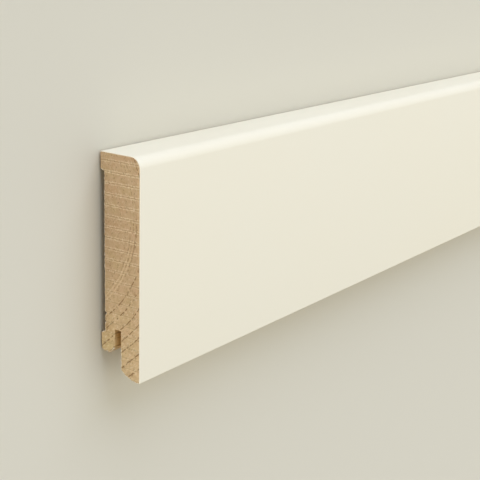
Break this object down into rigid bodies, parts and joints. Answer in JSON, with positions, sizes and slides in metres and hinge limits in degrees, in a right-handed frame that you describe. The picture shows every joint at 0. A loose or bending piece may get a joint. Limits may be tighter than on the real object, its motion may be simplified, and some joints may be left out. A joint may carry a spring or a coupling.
{
  "type": "skirting board length",
  "caption": "Straight solid-wood skirting board with a rounded top edge, a relieved back, a clip groove behind the foot and a white satin face.",
  "frame": {"origin": "centre of the board's length and height, on the plane of its two back pads", "axes": "+X along the length, +Y towards the rounded top edge, +Z out of the lacquered face"},
  "size_m": [2.4, 0.08, 0.018],
  "materials": {
    "lacquered_oak": "warm white satin lacquer on the face and top edge, bare sawn oak on the ends, back and groove"
  },
  "bodies": {
    "root": {"skirting_board": "lacquered_oak"}
  },
  "joints": []
}
